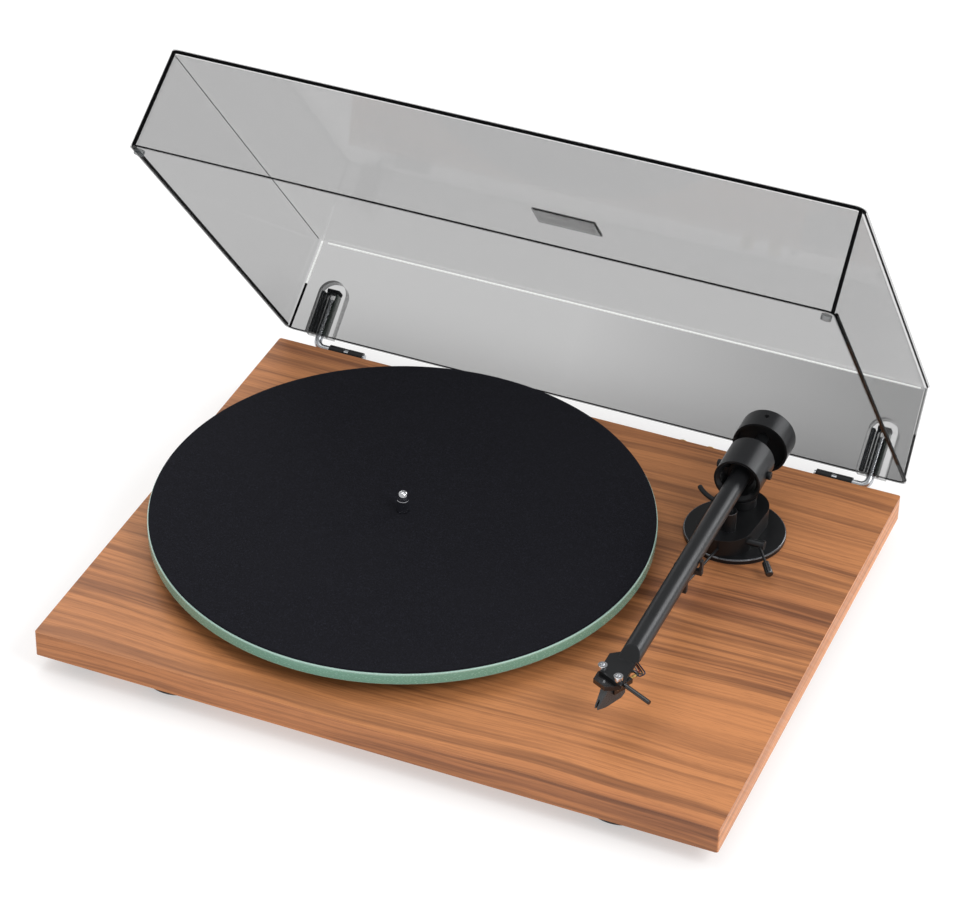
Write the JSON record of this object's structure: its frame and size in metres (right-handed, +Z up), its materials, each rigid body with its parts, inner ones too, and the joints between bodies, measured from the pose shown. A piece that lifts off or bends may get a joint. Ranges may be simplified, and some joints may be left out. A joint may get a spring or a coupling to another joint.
{
  "type": "record player",
  "caption": "Belt-drive record player: wooden plinth, glass platter with felt mat, straight pivoted tonearm with lift and a hinged clear dust cover.",
  "frame": {"origin": "on the floor, under the middle of the whole player's box with the dust cover open", "axes": "+X to the right, +Y to the rear, +Z up, seen from the front where the tonearm is on the right"},
  "size_m": [0.416, 0.385, 0.3125],
  "materials": {
    "walnut": "oiled satin",
    "foot_rubber": "matte",
    "black_plastic": "fine texture",
    "gloss_black": "semi gloss",
    "black_metal": "satin anodised",
    "grey_metal": "satin anodised",
    "steel": "bright drawn",
    "chrome": "polished",
    "brass": "plated",
    "platter_glass": "polished",
    "felt": "pressed felt",
    "clear_acrylic": "polished clear",
    "clear_rubber": "translucent",
    "belt_rubber": "matte",
    "board": "solder mask",
    "smoke_plastic": "translucent"
  },
  "bodies": {
    "chassis": {"plinth": "walnut", "bottom_cover": "black_plastic", "foot_front_left": "foot_rubber", "foot_front_right": "foot_rubber", "foot_rear_left": "foot_rubber", "foot_rear_right": "foot_rubber", "foot_screws": "steel", "chassis_screws": "steel", "bearing_housing": "brass", "bearing_ball": "chrome", "drive_belt": "belt_rubber", "motor": "steel", "motor_plate": "steel", "control_board": "board", "switch_housing": "black_plastic", "terminal_panel": "black_plastic", "phono_socket_left": "brass", "phono_socket_right": "brass", "ground_post": "chrome", "power_socket": "black_plastic", "hinge_bracket_left": "black_metal", "hinge_bracket_right": "black_metal", "arm_base": "black_metal", "arm_block": "black_metal", "arm_post": "black_metal", "lift_column": "black_metal", "armrest_rod": "chrome", "armrest_cradle": "black_plastic"},
    "platter": {"spindle": "chrome", "sub_platter": "black_plastic", "glass_platter": "platter_glass", "felt_mat": "felt"},
    "motor_rotor": {"motor_shaft": "steel", "motor_pulley": "brass"},
    "lid": {"dust_cover": "clear_acrylic", "hinge_rod_left": "steel", "hinge_rod_right": "steel", "hinge_socket_left": "clear_acrylic", "hinge_socket_right": "clear_acrylic", "name_plate": "clear_acrylic", "lid_bumpers": "clear_rubber"},
    "arm_yoke": {"bearing_barrel": "grey_metal", "side_screws": "black_metal"},
    "arm_wand": {"pivot_block": "black_metal", "arm_tube": "grey_metal", "weight_rod": "grey_metal", "headshell": "black_metal", "finger_lift": "gloss_black", "cartridge_screws": "chrome", "cartridge_body": "gloss_black", "cartridge_pins": "brass", "stylus": "smoke_plastic"},
    "balance_weight": {"counterweight": "grey_metal", "weight_grub": "black_metal"},
    "lift_platform": {"lift_bar": "black_metal"},
    "cue_lever": {"lift_lever": "steel", "lift_knob": "gloss_black"},
    "power_switch": {"power_rocker": "gloss_black"}
  },
  "joints": [
    {"name": "platter_spin", "type": "hinge", "parent": "chassis", "child": "platter", "pos_m": [-0.0521, -0.02316, 0.046], "axis": [0, 0, 1], "continuous": true},
    {"name": "motor_spin", "type": "hinge", "parent": "chassis", "child": "motor_rotor", "pos_m": [-0.1221, 0.04685, 0.03], "axis": [0, 0, 1], "continuous": true},
    {"name": "lid_hinge", "type": "hinge", "parent": "chassis", "child": "lid", "pos_m": [0, 0.14064, 0.0237], "axis": [1, 0, 0], "range_deg": [0, 51.06]},
    {"name": "arm_swing", "type": "hinge", "parent": "chassis", "child": "arm_yoke", "pos_m": [0.1275, 0.06984, 0.0675], "axis": [0, 0, 1], "range_deg": [-46, 0]},
    {"name": "arm_tilt", "type": "hinge", "parent": "arm_yoke", "child": "arm_wand", "pos_m": [0.1275, 0.06984, 0.0675], "axis": [-1, 0, 0], "range_deg": [0, 3]},
    {"name": "weight_slide", "type": "slide", "parent": "arm_wand", "child": "balance_weight", "axis": [0, 1, 0], "range_m": [-0.008, 0.003]},
    {"name": "lift_rise", "type": "slide", "parent": "chassis", "child": "lift_platform", "axis": [0, 0, 1], "range_m": [0, 0.0015]},
    {"name": "lever_turn", "type": "hinge", "parent": "chassis", "child": "cue_lever", "pos_m": [0.1487, 0.04164, 0.038], "axis": [-1, 0, 0], "range_deg": [0, 60]},
    {"name": "switch_rock", "type": "hinge", "parent": "chassis", "child": "power_switch", "pos_m": [-0.186, -0.17746, 0.0131], "axis": [0, 1, 0], "range_deg": [-14, 0]}
  ],
  "couplings": [
    {"joint": "motor_spin", "follows": "platter_spin", "ratio": 9.2857},
    {"joint": "arm_tilt", "follows": "lever_turn", "ratio": 0.05},
    {"joint": "lift_rise", "follows": "lever_turn", "m_per_rad": 0.00136}
  ]
}
